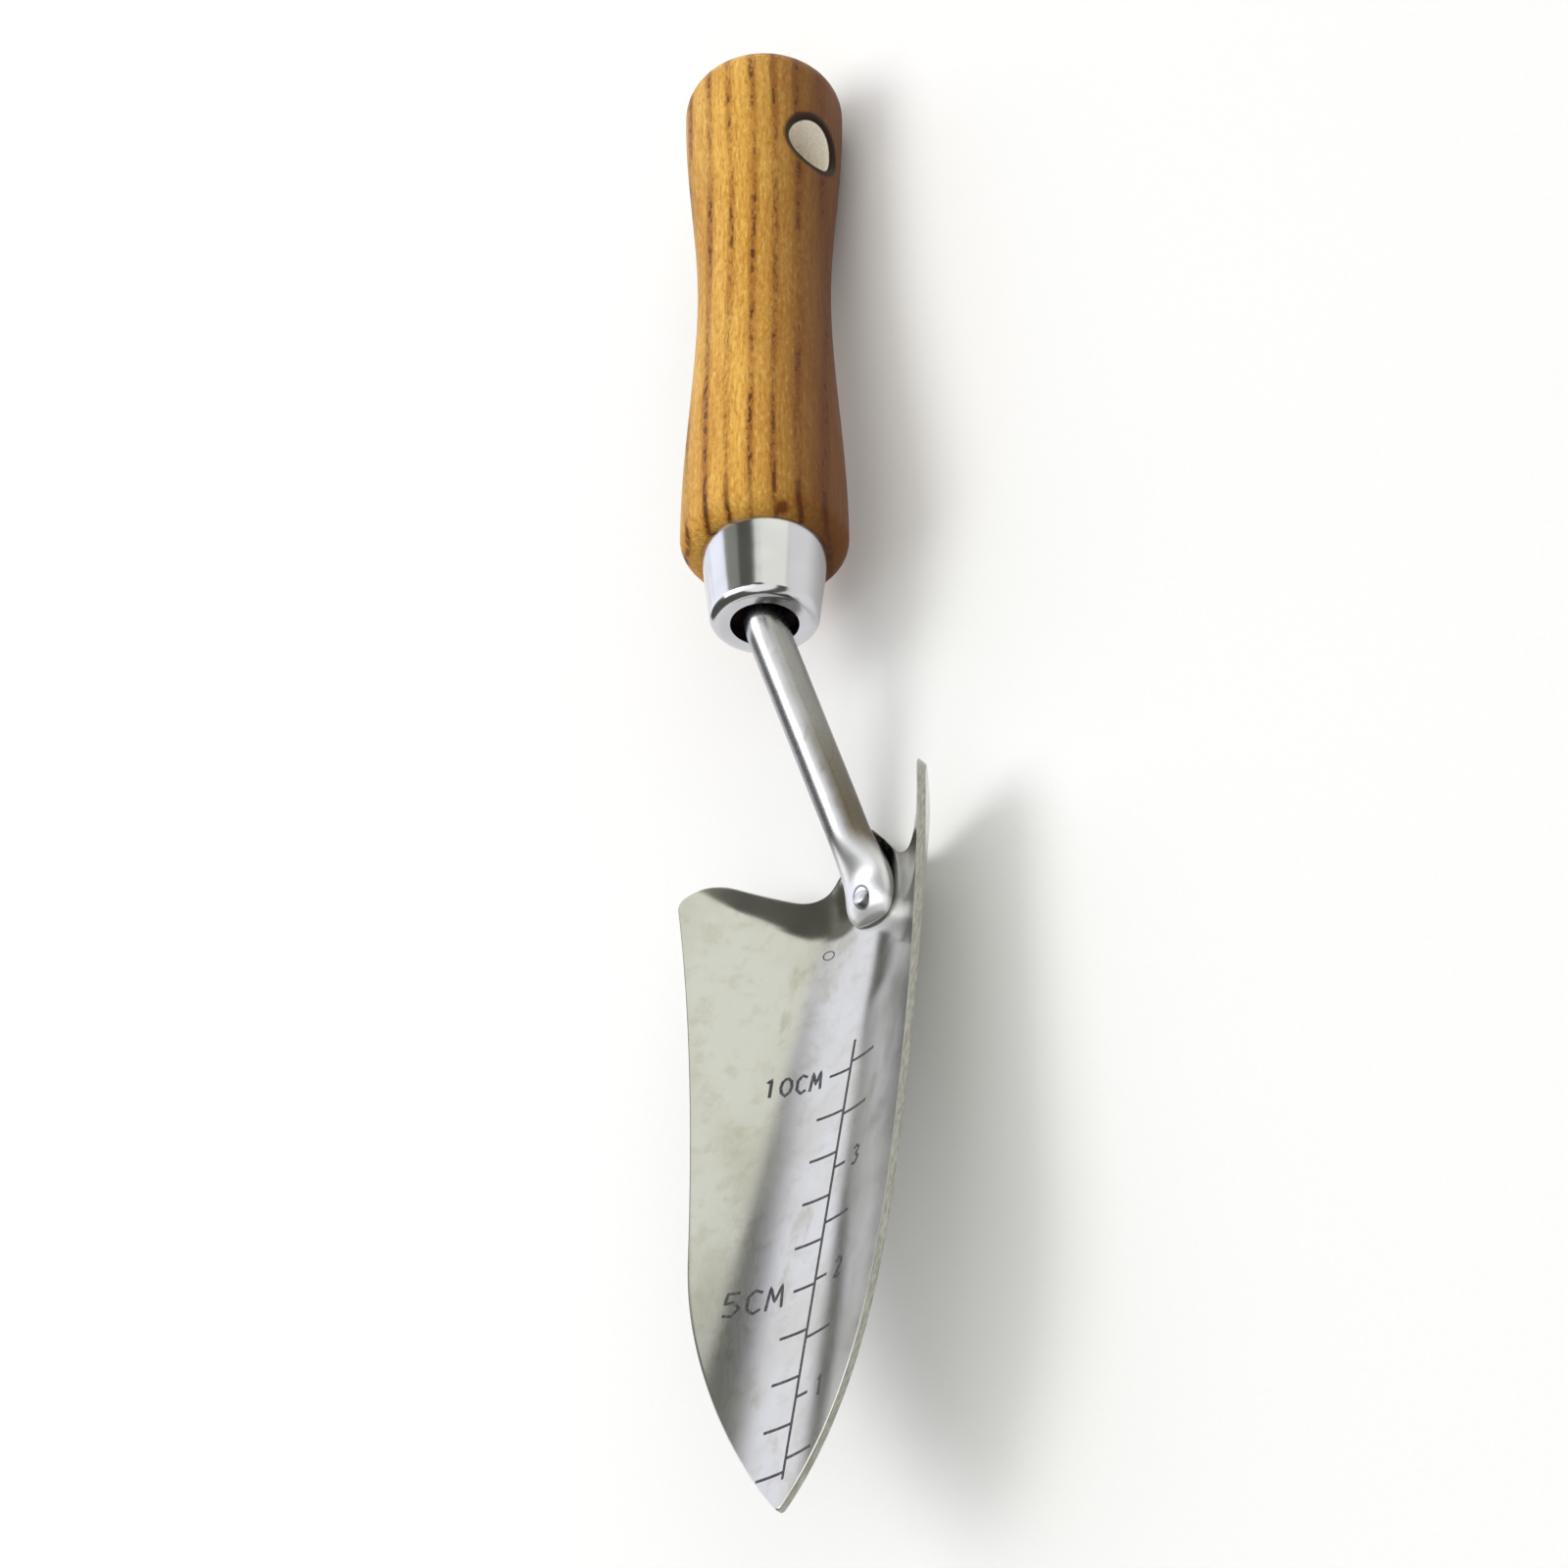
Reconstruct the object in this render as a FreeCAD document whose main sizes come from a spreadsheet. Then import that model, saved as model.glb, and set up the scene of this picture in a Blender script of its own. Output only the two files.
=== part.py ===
import FreeCAD, Part
import math
import os
import Sketcher

# Hand transplanter: pressed stainless blade, cranked neck, foot rivet, ferrule and turned ash handle.
#
# Tool frame, in which the sub-parts are drawn: the blade's tip is the origin, +X runs up the blade's
# centre line to the handle, +Z is out of the blade's hollow face and Y is across it.
# Handle frame: +X runs up the handle's axis from the floor of the ferrule.
# Row frame: the tool lies on its back, on the blade's heel and the handle's end, with +Z up.

doc = FreeCAD.newDocument("hand_transplanter")

# ---------------------------------------------------------------- driving dimensions
sheet = doc.addObject("Spreadsheet::Sheet", "sizes")
DIMENSIONS = [
    # blade
    ("sheet_thickness", 1.5),
    ("blank_height", 80),          # the outline is cut through this much height
    ("tip_half_angle", 44.3),      # the outline's angle at the tip, from the centre line
    ("edge_radius", 95),           # the bowed part of the cutting edge
    ("wing_flare", 4.9),           # the straight part's angle, opening towards the handle
    ("wing_top", 148.5),           # where the outline's sides meet its top
    ("notch_along", 142.2),        # the low point of the top edge, each side of the tab
    ("notch_across", 11.5),
    ("tab_top", 154),
    ("tab_half_width", 2.3),
    ("wing_corner_radius", 6.5),
    ("notch_radius", 8),
    ("tab_corner_radius", 2),
    ("tip_radius", 1),
    ("trough_radius_at_tip", 48),  # the hollow's radius at its bottom, which closes up along the blade
    ("trough_taper", 0.17),
    ("curl_start", 134),           # the top edge curls forward from here to lie against the neck
    ("curl_run", 20),
    ("curl_rise", 6.9),
    ("curl_fade", 10),             # how far the curl's start moves up at the wings
    ("pressing_margin", 3),        # how far the pressed sheet runs past the outline
    ("offset_tolerance", 0.01),
    # neck
    ("rod_radius", 4.4),
    ("foot_end", 135.2),
    ("foot_run", 16.5),            # length of the forged foot along its centre line
    ("rod_above_blade", 3.7),      # the rod's centre line where it lies on the blade
    ("neck_slope", 41),
    ("foot_bend_radius", 13),
    ("crank_radius", 11),
    ("tang_length", 86),
    ("tang_point_length", 9),
    ("tang_point_radius", 1.2),
    # rivet
    ("rivet_along", 138.4),
    ("rivet_radius", 2),
    ("rivet_top", 4.7),
    ("rivet_dome", 0.5),
    # handle and ferrule
    ("ferrule_along", 186),        # the centre of the ferrule's floor
    ("ferrule_above", 40.5),
    ("handle_slope", 11.5),
    ("ferrule_length", 17.5),
    ("ferrule_floor_radius", 11),
    ("ferrule_mouth_radius", 13),
    ("ferrule_wall", 1.2),
    ("ferrule_edge_radius", 2.2),
    ("neck_hole_radius", 7),
    ("spigot_length", 11),
    ("fit_gap", 0.05),
    ("shoulder_radius", 13.1),
    ("round_over", 4.2),
    ("waist_along", 87),
    ("waist_radius", 14.3),
    ("bulge_along", 142),
    ("bulge_radius", 17.4),
    ("end_round", 8),
    ("handle_end", 154),
    ("bore_depth", 72),
    ("drill_point_angle", 59),     # the drill's point, from its axis
    ("hang_along", 123),
    ("hang_radius", 6),
    ("hang_edge_radius", 1.1),
    # rest
    ("rest_tilt", 15.86),
]
for row, (name, value) in enumerate(DIMENSIONS, start=1):
    sheet.set(f"A{row}", name)
    sheet.set(f"B{row}", str(value))
    sheet.setAlias(f"B{row}", name)
doc.recompute()


def size(name):
    """The value of one driving dimension."""
    return float(getattr(sheet, name))


# ---------------------------------------------------------------- small helpers
NEAR = 0.6     # how far an edge's middle may lie from the place where it is looked for
SAME = 0.01    # how closely a circle's radius and place have to agree


def new_body(label):
    body = doc.addObject("PartDesign::Body", label)
    body.Label = label
    return body


def plane_of(body, role):
    return next(f for f in body.Origin.OriginFeatures if f.Role == role)


def new_sketch(body, name, role):
    sketch = body.newObject("Sketcher::SketchObject", name)
    sketch.AttachmentSupport = [(plane_of(body, role), "")]
    sketch.MapMode = "FlatFace"
    return sketch


def vec(x, y, z=0.0):
    return FreeCAD.Vector(x, y, z)


def add_polyline(sketch, points):
    """Adds straight edges from point to point."""
    for start, end in zip(points, points[1:]):
        sketch.addGeometry(Part.LineSegment(start, end))


def edges_near(shape, points, reach):
    """Names of the edges whose middle lies within reach of one of the points."""
    names = []
    for number, edge in enumerate(shape.Edges, start=1):
        if any((edge.CenterOfMass - point).Length < reach for point in points):
            names.append(f"Edge{number}")
    return names


def add_fillet(body, base, points, radius_name):
    """Rounds the upright edges that pass through the points."""
    names = edges_near(base.Shape, points, NEAR)
    if len(names) != len(points):
        raise RuntimeError(f"{body.Label}: {len(names)} edges found for {len(points)} fillets")
    fillet = body.newObject("PartDesign::Fillet", f"{radius_name}_fillet")
    fillet.Base = (base, names)
    fillet.setExpression("Radius", f"sizes.{radius_name}")
    doc.recompute()
    return fillet


def bind_radius(sketch, index, name):
    """A driving radius for one circle of a sketch, tied to the sheet."""
    constraint = sketch.addConstraint(Sketcher.Constraint("Radius", index, size(name)))
    sketch.setExpression(f"Constraints[{constraint}]", f"sizes.{name}")


def check_cut(body, before):
    if body.Shape.Volume > before - 1:
        raise RuntimeError(f"{body.Label}: the last cut removed nothing")


# ---------------------------------------------------------------- blade
def blade_outline():
    """One side of the outline: tip, start and middle of the bowed edge, then the corners up to the tab."""
    angle = math.radians(size("tip_half_angle"))
    flare = math.radians(size("wing_flare"))
    radius = size("edge_radius")
    centre = vec(radius * math.sin(angle), -radius * math.cos(angle))
    bow_end = centre + vec(-radius * math.sin(flare), radius * math.cos(flare))
    middle_angle = (angle + flare) / 2
    bow_middle = centre + vec(-radius * math.sin(middle_angle), radius * math.cos(middle_angle))
    wing = size("wing_top")
    corner = vec(wing, bow_end.y + (wing - bow_end.x) * math.tan(flare))
    notch = vec(size("notch_along"), size("notch_across"))
    tab = vec(size("tab_top"), size("tab_half_width"))
    return vec(0, 0), bow_middle, bow_end, corner, notch, tab


def mirrored(point):
    return vec(point.x, -point.y, point.z)


def make_blank():
    """The flat outline of the blade, as a tall prism with its corners rounded."""
    body = new_body("blade_blank")
    sketch = new_sketch(body, "blank_outline", "XY_Plane")
    tip, bow_middle, bow_end, corner, notch, tab = blade_outline()
    sketch.addGeometry(Part.Arc(tip, bow_middle, bow_end))
    add_polyline(sketch, [bow_end, corner, notch, tab, mirrored(tab), mirrored(notch),
                          mirrored(corner), mirrored(bow_end)])
    sketch.addGeometry(Part.Arc(mirrored(bow_end), mirrored(bow_middle), tip))
    pad = body.newObject("PartDesign::Pad", "blank_pad")
    pad.Profile = sketch
    pad.SideType = "Symmetric"
    pad.setExpression("Length", "sizes.blank_height")
    doc.recompute()
    last = add_fillet(body, pad, [corner, mirrored(corner)], "wing_corner_radius")
    last = add_fillet(body, last, [notch, mirrored(notch)], "notch_radius")
    last = add_fillet(body, last, [tab, mirrored(tab)], "tab_corner_radius")
    add_fillet(body, last, [tip], "tip_radius")
    return body


def trough_height(along, across):
    """Height of the hollow face: a parabola across, closing up along, and curled forward at the top."""
    radius = size("trough_radius_at_tip") - size("trough_taper") * along
    half_width = blade_outline()[3].y
    start = size("curl_start") + size("curl_fade") * (across / half_width) ** 2
    rise = max(0.0, (along - start) / size("curl_run"))
    return across ** 2 / (2 * radius) + size("curl_rise") * rise ** 3


PRESSING_ROWS = 36       # the surface passes through this grid of points, along the blade and across
PRESSING_COLUMNS = 14


def make_pressing():
    """The pressed sheet before its outline is cut: a smooth surface given its thickness at the back."""
    margin = size("pressing_margin")
    half_width = blade_outline()[3].y + margin
    start = -margin
    stop = size("tab_top") + margin
    grid = []
    for i in range(PRESSING_ROWS + 1):
        along = start + (stop - start) * i / PRESSING_ROWS
        line = []
        for j in range(PRESSING_COLUMNS + 1):
            across = -half_width + 2 * half_width * j / PRESSING_COLUMNS
            line.append(vec(along, across, trough_height(along, across)))
        grid.append(line)
    surface = Part.BSplineSurface()
    surface.interpolate(grid)
    face = surface.toShape()
    front = face.normalAt(0, 0).z
    offset = -math.copysign(size("sheet_thickness"), front)
    pressing = doc.addObject("Part::Feature", "pressing")
    pressing.Shape = face.makeOffsetShape(offset, size("offset_tolerance"), fill=True)
    return pressing


def make_blade():
    pieces = [make_pressing(), make_blank()]
    blade = doc.addObject("Part::MultiCommon", "blade_cut")
    blade.Shapes = pieces
    doc.recompute()
    return blade


# ---------------------------------------------------------------- neck
def neck_corners():
    """Corners of the rod's centre line in the XZ plane: foot bend, crank, end of the tang."""
    slope = math.radians(size("neck_slope"))
    handle_slope = math.radians(size("handle_slope"))
    low = size("rod_above_blade")
    crank = vec(size("ferrule_along"), size("ferrule_above"))
    bend = vec(crank.x - (crank.y - low) / math.tan(slope), low)
    tang = size("tang_length")
    end = crank + vec(tang * math.cos(handle_slope), tang * math.sin(handle_slope))
    return bend, crank, end


def foot_line(run):
    """Point and slope in degrees of the foot's centre line, a distance from the foot's end."""
    bend = neck_corners()[0]
    radius = size("foot_bend_radius")
    slope = math.radians(size("neck_slope"))
    reach = radius * math.tan(slope / 2)
    flat = bend.x - reach - size("foot_end")
    if run <= flat:
        return vec(size("foot_end") + run, bend.y), 0.0
    turn = min((run - flat) / radius, slope)
    point = vec(bend.x - reach + radius * math.sin(turn), bend.y + radius * (1 - math.cos(turn)))
    rest = run - flat - turn * radius
    return point + vec(rest * math.cos(turn), rest * math.sin(turn)), math.degrees(turn)


def add_section(body, name, run):
    """A sketch square to the foot's centre line; its x is across the tool and its y is up."""
    point, turn = foot_line(run)
    section = new_sketch(body, name, "YZ_Plane")
    lean = FreeCAD.Rotation(vec(1, 0, 0), -turn)
    section.AttachmentOffset = FreeCAD.Placement(vec(0, point.y, point.x), lean)
    return section


def make_rod():
    """The round rod: from above the foot, up the neck, round the crank and along the tang."""
    body = new_body("rod")
    start, _ = foot_line(size("foot_run"))
    bend, crank, end = neck_corners()
    radius = size("crank_radius")
    inward = (bend - crank).normalize()
    outward = (end - crank).normalize()
    half_turn = (math.pi - inward.getAngle(outward)) / 2
    first = crank + inward * (radius * math.tan(half_turn))
    last = crank + outward * (radius * math.tan(half_turn))
    centre = crank + (inward + outward).normalize() * (radius / math.cos(half_turn))
    middle = centre + (crank - centre).normalize() * radius
    path = new_sketch(body, "rod_path", "XZ_Plane")
    path.addGeometry(Part.LineSegment(start, first))
    path.addGeometry(Part.Arc(first, middle, last))
    path.addGeometry(Part.LineSegment(last, end))
    section = add_section(body, "rod_section", size("foot_run"))
    section.addGeometry(Part.Circle(vec(0, 0), vec(0, 0, 1), size("rod_radius")))
    bind_radius(section, 0, "rod_radius")
    doc.recompute()
    pipe = body.newObject("PartDesign::AdditivePipe", "rod_pipe")
    pipe.Profile = section
    pipe.Spine = path
    doc.recompute()
    return body


# The forged foot, from its toe: distance from the toe, half width, half height, and how far its middle
# lies under the rod's centre line. It is a flat paddle that gathers into the round rod.
FOOT_SECTIONS = [
    (0, 3.2, 0.9, 3.0),
    (1.5, 5.2, 2.1, 2.3),
    (4.5, 6.1, 3.0, 1.6),
    (8, 5.9, 3.3, 1.1),
    (12, 5.2, 3.9, 0.4),
]


def make_foot():
    body = new_body("foot")
    sections = []
    for number, (run, half_width, half_height, drop) in enumerate(FOOT_SECTIONS):
        section = add_section(body, f"foot_section_{number}", run)
        section.addGeometry(Part.Ellipse(vec(0, -drop), half_width, half_height))
        sections.append(section)
    section = add_section(body, "foot_neck", size("foot_run"))
    section.addGeometry(Part.Circle(vec(0, 0), vec(0, 0, 1), size("rod_radius")))
    sections.append(section)
    doc.recompute()
    loft = body.newObject("PartDesign::AdditiveLoft", "foot_forging")
    loft.Profile = sections[0]
    loft.Sections = sections[1:]
    doc.recompute()
    return body


def make_tang_point():
    """The drawn-down end of the tang."""
    end = neck_corners()[-1]
    point = doc.addObject("Part::Cone", "tang_point")
    point.setExpression("Radius1", "sizes.rod_radius")
    point.setExpression("Radius2", "sizes.tang_point_radius")
    point.setExpression("Height", "sizes.tang_point_length")
    lean = FreeCAD.Rotation(vec(0, 1, 0), 90 - size("handle_slope"))
    point.Placement = FreeCAD.Placement(vec(end.x, 0, end.y), lean)
    return point


def make_neck(blade_cut, rivet_space):
    pieces = [make_rod(), make_foot(), make_tang_point()]
    whole = doc.addObject("Part::MultiFuse", "neck_whole")
    whole.Shapes = pieces
    seated = doc.addObject("Part::Cut", "neck_seated")
    seated.Base = whole
    seated.Tool = blade_cut
    neck = doc.addObject("Part::Cut", "neck")
    neck.Base = seated
    neck.Tool = rivet_space
    doc.recompute()
    return neck


# ---------------------------------------------------------------- rivet
def make_rivet_space():
    """The hole that the rivet fills, through the foot and the sheet."""
    space = doc.addObject("Part::Cylinder", "rivet_space")
    space.setExpression("Radius", "sizes.rivet_radius")
    space.setExpression("Height", "sizes.blank_height")
    space.Placement = FreeCAD.Placement(vec(size("rivet_along"), 0, -size("blank_height") / 2),
                                        FreeCAD.Rotation())
    return space


def make_rivet():
    """A plain shank, flush at the blade's back, with a low domed head on the foot."""
    body = new_body("foot_rivet")
    sketch = new_sketch(body, "rivet_profile", "XZ_Plane")
    middle = size("rivet_along")
    radius = size("rivet_radius")
    bottom = trough_height(middle, radius) - size("sheet_thickness")
    top = size("rivet_top")
    dome = size("rivet_dome")
    sphere = (radius ** 2 + dome ** 2) / (2 * dome)
    half_angle = math.asin(radius / sphere) / 2
    on_dome = vec(middle + sphere * math.sin(half_angle),
                  top + dome - sphere * (1 - math.cos(half_angle)))
    crown = vec(middle, top + dome)
    rim = vec(middle + radius, top)
    add_polyline(sketch, [crown, vec(middle, bottom), vec(middle + radius, bottom), rim])
    sketch.addGeometry(Part.Arc(rim, on_dome, crown))
    turning = body.newObject("PartDesign::Revolution", "rivet_turning")
    turning.Profile = sketch
    axis = new_sketch(body, "rivet_axis", "XZ_Plane")
    axis.addGeometry(Part.LineSegment(vec(middle, 0), vec(middle, top)))
    turning.ReferenceAxis = (axis, ["Edge1"])
    turning.Angle = 360
    body.Tip = turning
    doc.recompute()
    return body


# ---------------------------------------------------------------- ferrule
def ferrule_radius(along):
    """Outside radius of the ferrule's cone."""
    growth = (size("ferrule_mouth_radius") - size("ferrule_floor_radius")) / size("ferrule_length")
    return size("ferrule_floor_radius") + growth * along


def revolve(body, sketch, feature="Revolution"):
    turning = body.newObject(f"PartDesign::{feature}", f"{body.Label}_{feature.lower()}")
    turning.Profile = sketch
    turning.ReferenceAxis = (sketch, ["H_Axis"])
    turning.Angle = 360
    doc.recompute()
    return turning


def edge_of_radius(shape, along, radius):
    """Name of the circular edge round the X axis with that place and radius."""
    for number, edge in enumerate(shape.Edges, start=1):
        circle = edge.Curve
        if not isinstance(circle, Part.Circle):
            continue
        if abs(circle.Radius - radius) < SAME and abs(circle.Center.x - along) < SAME:
            return f"Edge{number}"
    raise RuntimeError(f"no edge of radius {radius} at {along}")


def make_ferrule():
    """A tapered cup: floor with a hole for the neck, wall, and rounded edges at the floor."""
    body = new_body("ferrule")
    sketch = new_sketch(body, "ferrule_profile", "XZ_Plane")
    wall = size("ferrule_wall")
    length = size("ferrule_length")
    hole = size("neck_hole_radius")
    profile = [vec(0, hole), vec(0, ferrule_radius(0)), vec(length, ferrule_radius(length)),
               vec(length, ferrule_radius(length) - wall), vec(wall, ferrule_radius(wall) - wall),
               vec(wall, hole)]
    add_polyline(sketch, profile + profile[:1])
    cup = revolve(body, sketch)
    rounded = body.newObject("PartDesign::Fillet", "ferrule_edge")
    rounded.Base = (cup, [edge_of_radius(cup.Shape, 0, ferrule_radius(0))])
    rounded.setExpression("Radius", "sizes.ferrule_edge_radius")
    doc.recompute()
    return body


# ---------------------------------------------------------------- handle
def hole_mouths(shape):
    """Names of the hanging hole's edges: each mouth is two half edges, met at the handle's seam."""
    names = []
    for number, edge in enumerate(shape.Edges, start=1):
        centred = abs(edge.CenterOfMass.x - size("hang_along")) < NEAR
        small = edge.BoundBox.XLength <= 2 * size("hang_radius") + NEAR
        not_a_wall = edge.BoundBox.YLength < size("waist_radius")
        if centred and small and not_a_wall:
            names.append(f"Edge{number}")
    if len(names) != 4:
        raise RuntimeError(f"hanging hole: {len(names)} half mouths found, not 4")
    return names


def make_handle():
    """The turned handle: spigot, shoulder, round-over, waist and domed end, then its two holes."""
    body = new_body("handle")
    sketch = new_sketch(body, "handle_profile", "XZ_Plane")
    shoulder = size("ferrule_length")
    spigot_end = shoulder - size("spigot_length")
    inset = size("ferrule_wall") + size("fit_gap")
    over = size("round_over")
    low = size("shoulder_radius")
    rim = vec(shoulder, low)
    lower_bulge = vec(shoulder + over, low + over)
    on_round = vec(shoulder + over * (1 - math.sqrt(0.5)), low + over * math.sqrt(0.5))
    add_polyline(sketch, [vec(spigot_end, 0), vec(spigot_end, ferrule_radius(spigot_end) - inset),
                          vec(shoulder, ferrule_radius(shoulder) - inset), rim])
    sketch.addGeometry(Part.Arc(rim, on_round, lower_bulge))
    waist = vec(size("waist_along"), size("waist_radius"))
    upper_bulge = vec(size("bulge_along"), size("bulge_radius"))
    side = Part.BSplineCurve()
    side.interpolate(Points=[lower_bulge, waist, upper_bulge], Tangents=[vec(1, 0)] * 3,
                     TangentFlags=[True] * 3)
    sketch.addGeometry(side)
    end_round = size("end_round")
    run = size("handle_end") - upper_bulge.x
    offset = upper_bulge.y - end_round
    dome = (run ** 2 + offset ** 2 - end_round ** 2) / (2 * (run - end_round))
    dome_angle = math.asin(offset / (dome - end_round))
    centre = vec(upper_bulge.x, offset)
    meeting = centre + vec(end_round * math.cos(dome_angle), end_round * math.sin(dome_angle))
    middle_angle = (math.pi / 2 + dome_angle) / 2
    on_end_round = centre + vec(end_round * math.cos(middle_angle),
                                end_round * math.sin(middle_angle))
    on_dome = vec(size("handle_end") - dome * (1 - math.cos(dome_angle / 2)),
                  dome * math.sin(dome_angle / 2))
    end = vec(size("handle_end"), 0)
    sketch.addGeometry(Part.Arc(upper_bulge, on_end_round, meeting))
    sketch.addGeometry(Part.Arc(meeting, on_dome, end))
    add_polyline(sketch, [end, vec(spigot_end, 0)])
    revolve(body, sketch)

    bore = new_sketch(body, "bore_profile", "XZ_Plane")
    radius = size("rod_radius") + size("fit_gap")
    bottom = spigot_end + size("bore_depth")
    drill_point = radius / math.tan(math.radians(size("drill_point_angle")))
    drilled = [vec(spigot_end - 1, 0), vec(spigot_end - 1, radius), vec(bottom, radius),
               vec(bottom + drill_point, 0)]
    add_polyline(bore, drilled + drilled[:1])
    before = body.Shape.Volume
    revolve(body, bore, "Groove")
    check_cut(body, before)

    hole = new_sketch(body, "hanging_hole", "XZ_Plane")
    hole.addGeometry(Part.Circle(vec(size("hang_along"), 0), vec(0, 0, 1), size("hang_radius")))
    bind_radius(hole, 0, "hang_radius")
    before = body.Shape.Volume
    pocket = body.newObject("PartDesign::Pocket", "hanging_hole_cut")
    pocket.Profile = hole
    pocket.SideType = "Symmetric"
    pocket.Length = 4 * size("bulge_radius")
    doc.recompute()
    check_cut(body, before)
    names = hole_mouths(pocket.Shape)
    mouth = body.newObject("PartDesign::Fillet", "hanging_hole_mouths")
    mouth.Base = (pocket, names)
    mouth.setExpression("Radius", "sizes.hang_edge_radius")
    doc.recompute()
    return body


# ---------------------------------------------------------------- assembly
rivet_space = make_rivet_space()
blade_cut = make_blade()
blade = doc.addObject("Part::Cut", "blade")
blade.Base = blade_cut
blade.Tool = rivet_space
neck = make_neck(blade_cut, rivet_space)
foot_rivet = make_rivet()
ferrule = make_ferrule()
handle = make_handle()
doc.recompute()

on_handle = FreeCAD.Placement(vec(size("ferrule_along"), 0, size("ferrule_above")),
                              FreeCAD.Rotation(vec(0, 1, 0), -size("handle_slope")))
at_rest = FreeCAD.Placement(vec(0, 0), FreeCAD.Rotation(vec(0, 1, 0), size("rest_tilt")))
nodes = {"blade": blade, "neck": neck, "foot_rivet": foot_rivet, "ferrule": ferrule, "handle": handle}
for name, node in nodes.items():
    frame = on_handle if name in ("ferrule", "handle") else FreeCAD.Placement()
    node.Placement = at_rest.multiply(frame)
doc.recompute()

# The row's origin is under the middle of the tool, on the surface that it lies on.
box = FreeCAD.BoundBox()
for node in nodes.values():
    box.add(node.Shape.optimalBoundingBox(False))
drop = vec(-box.Center.x, -box.Center.y, -box.ZMin)
for node in nodes.values():
    node.Placement = FreeCAD.Placement(drop, FreeCAD.Rotation()).multiply(node.Placement)
doc.recompute()

# ---------------------------------------------------------------- checks and export
for item in doc.Objects:
    bad = [state for state in item.State if state in ("Invalid", "Error")]
    if bad:
        raise RuntimeError(f"{item.Name}: {bad}")
os.makedirs("parts", exist_ok=True)
for name, node in nodes.items():
    node.Label = name
    shape = node.Shape
    if shape.isNull() or not shape.isValid() or not shape.Solids:
        raise RuntimeError(f"{name}: no valid solid")
    shape.exportStep(f"parts/{name}.step")
    print(f"{name}: {len(shape.Solids)} solid, {shape.Volume:.0f} mm3, {len(shape.Faces)} faces")
print(f"tool: {box.XLength:.1f} x {box.YLength:.1f} x {box.ZLength:.1f} mm, origin moved by {drop}")
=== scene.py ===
import math

import bpy
from mathutils import Euler, Matrix, Vector


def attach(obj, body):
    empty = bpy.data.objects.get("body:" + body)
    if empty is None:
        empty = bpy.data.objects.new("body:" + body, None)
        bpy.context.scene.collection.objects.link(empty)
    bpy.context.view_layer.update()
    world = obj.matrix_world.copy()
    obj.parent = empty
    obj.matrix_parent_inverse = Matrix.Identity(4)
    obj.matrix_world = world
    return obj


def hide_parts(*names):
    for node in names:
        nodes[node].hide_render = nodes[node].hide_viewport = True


# Hand transplanter: a satin stainless blade with a depth scale, a bright neck, a mirror ferrule and a
# varnished ash handle. Everything is in metres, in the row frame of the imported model.

MM = 0.001

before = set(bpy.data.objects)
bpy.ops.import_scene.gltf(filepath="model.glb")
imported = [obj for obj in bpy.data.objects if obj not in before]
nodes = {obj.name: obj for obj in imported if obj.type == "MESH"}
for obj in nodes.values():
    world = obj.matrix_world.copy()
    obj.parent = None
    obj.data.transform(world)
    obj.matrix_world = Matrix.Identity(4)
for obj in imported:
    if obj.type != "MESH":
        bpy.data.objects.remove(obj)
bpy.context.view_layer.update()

# ---------------------------------------------------------------- frames of the design
# Tool frame: the blade's tip is the origin, +X runs up the blade's centre line and +Z out of its hollow.
# Handle frame: +X runs up the handle's axis from the floor of the ferrule.
REST_TILT = math.radians(15.86)
HANDLE_SLOPE = math.radians(11.5)
TIP = Vector((-171.808, 0, 40.041)) * MM
FERRULE_FLOOR = Vector((186, 0, 40.5)) * MM
TOOL = Matrix.Translation(TIP) @ Matrix.Rotation(REST_TILT, 4, "Y")
HANDLE = TOOL @ Matrix.Translation(FERRULE_FLOOR) @ Matrix.Rotation(-HANDLE_SLOPE, 4, "Y")

# ---------------------------------------------------------------- the blade, as designed
SHEET = 1.5 * MM
TIP_HALF_ANGLE = math.radians(44.3)
EDGE_RADIUS = 95 * MM
WING_FLARE = math.radians(4.9)
WING_TOP = 148.5 * MM
NOTCH = Vector((142.2, 11.5)) * MM
TAB = Vector((154, 2.3)) * MM
TIP_RADIUS = 1 * MM
WING_CORNER_RADIUS = 6.5 * MM
NOTCH_RADIUS = 8 * MM
TAB_CORNER_RADIUS = 2 * MM
HOLLOW_RADIUS_AT_TIP = 48 * MM
HOLLOW_TAPER = 0.17
HALF_WIDTH = 34.4 * MM
RIVET_ALONG = 138.4 * MM
RIVET_RADIUS = 2 * MM
CURL_START = 134 * MM
CURL_RUN = 20 * MM
CURL_RISE = 6.9 * MM
CURL_FADE = 10 * MM
LIP_FROM = 133.2 * MM      # along the blade, where the wings' top edges start to turn up
LIP_SPREAD = 14 * MM       # across the blade, where that start begins to move back
LIP_LAG = 0.52
LIP_RUN = 3 * MM
LIP_SLOPE = 0.17
LIP_STEEPER = 0.014 / MM   # how much steeper it gets towards the wings' corners
LIP_INNER = (3 * MM, 9 * MM)


def lip_height(along, aside):
    """How far the pressing turns up along the wings' top edges, beside the tab."""
    past = along - LIP_FROM - LIP_LAG * max(0.0, aside - LIP_SPREAD)
    share = min(max((aside - LIP_INNER[0]) / (LIP_INNER[1] - LIP_INNER[0]), 0.0), 1.0)
    share = share ** 2 * (3 - 2 * share)
    slope = share * (LIP_SLOPE + LIP_STEEPER * max(0.0, aside - LIP_SPREAD))
    if past <= 0:
        return 0.0
    if past < LIP_RUN:
        return slope * past ** 2 / (2 * LIP_RUN)
    return slope * (past - LIP_RUN / 2)


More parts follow.
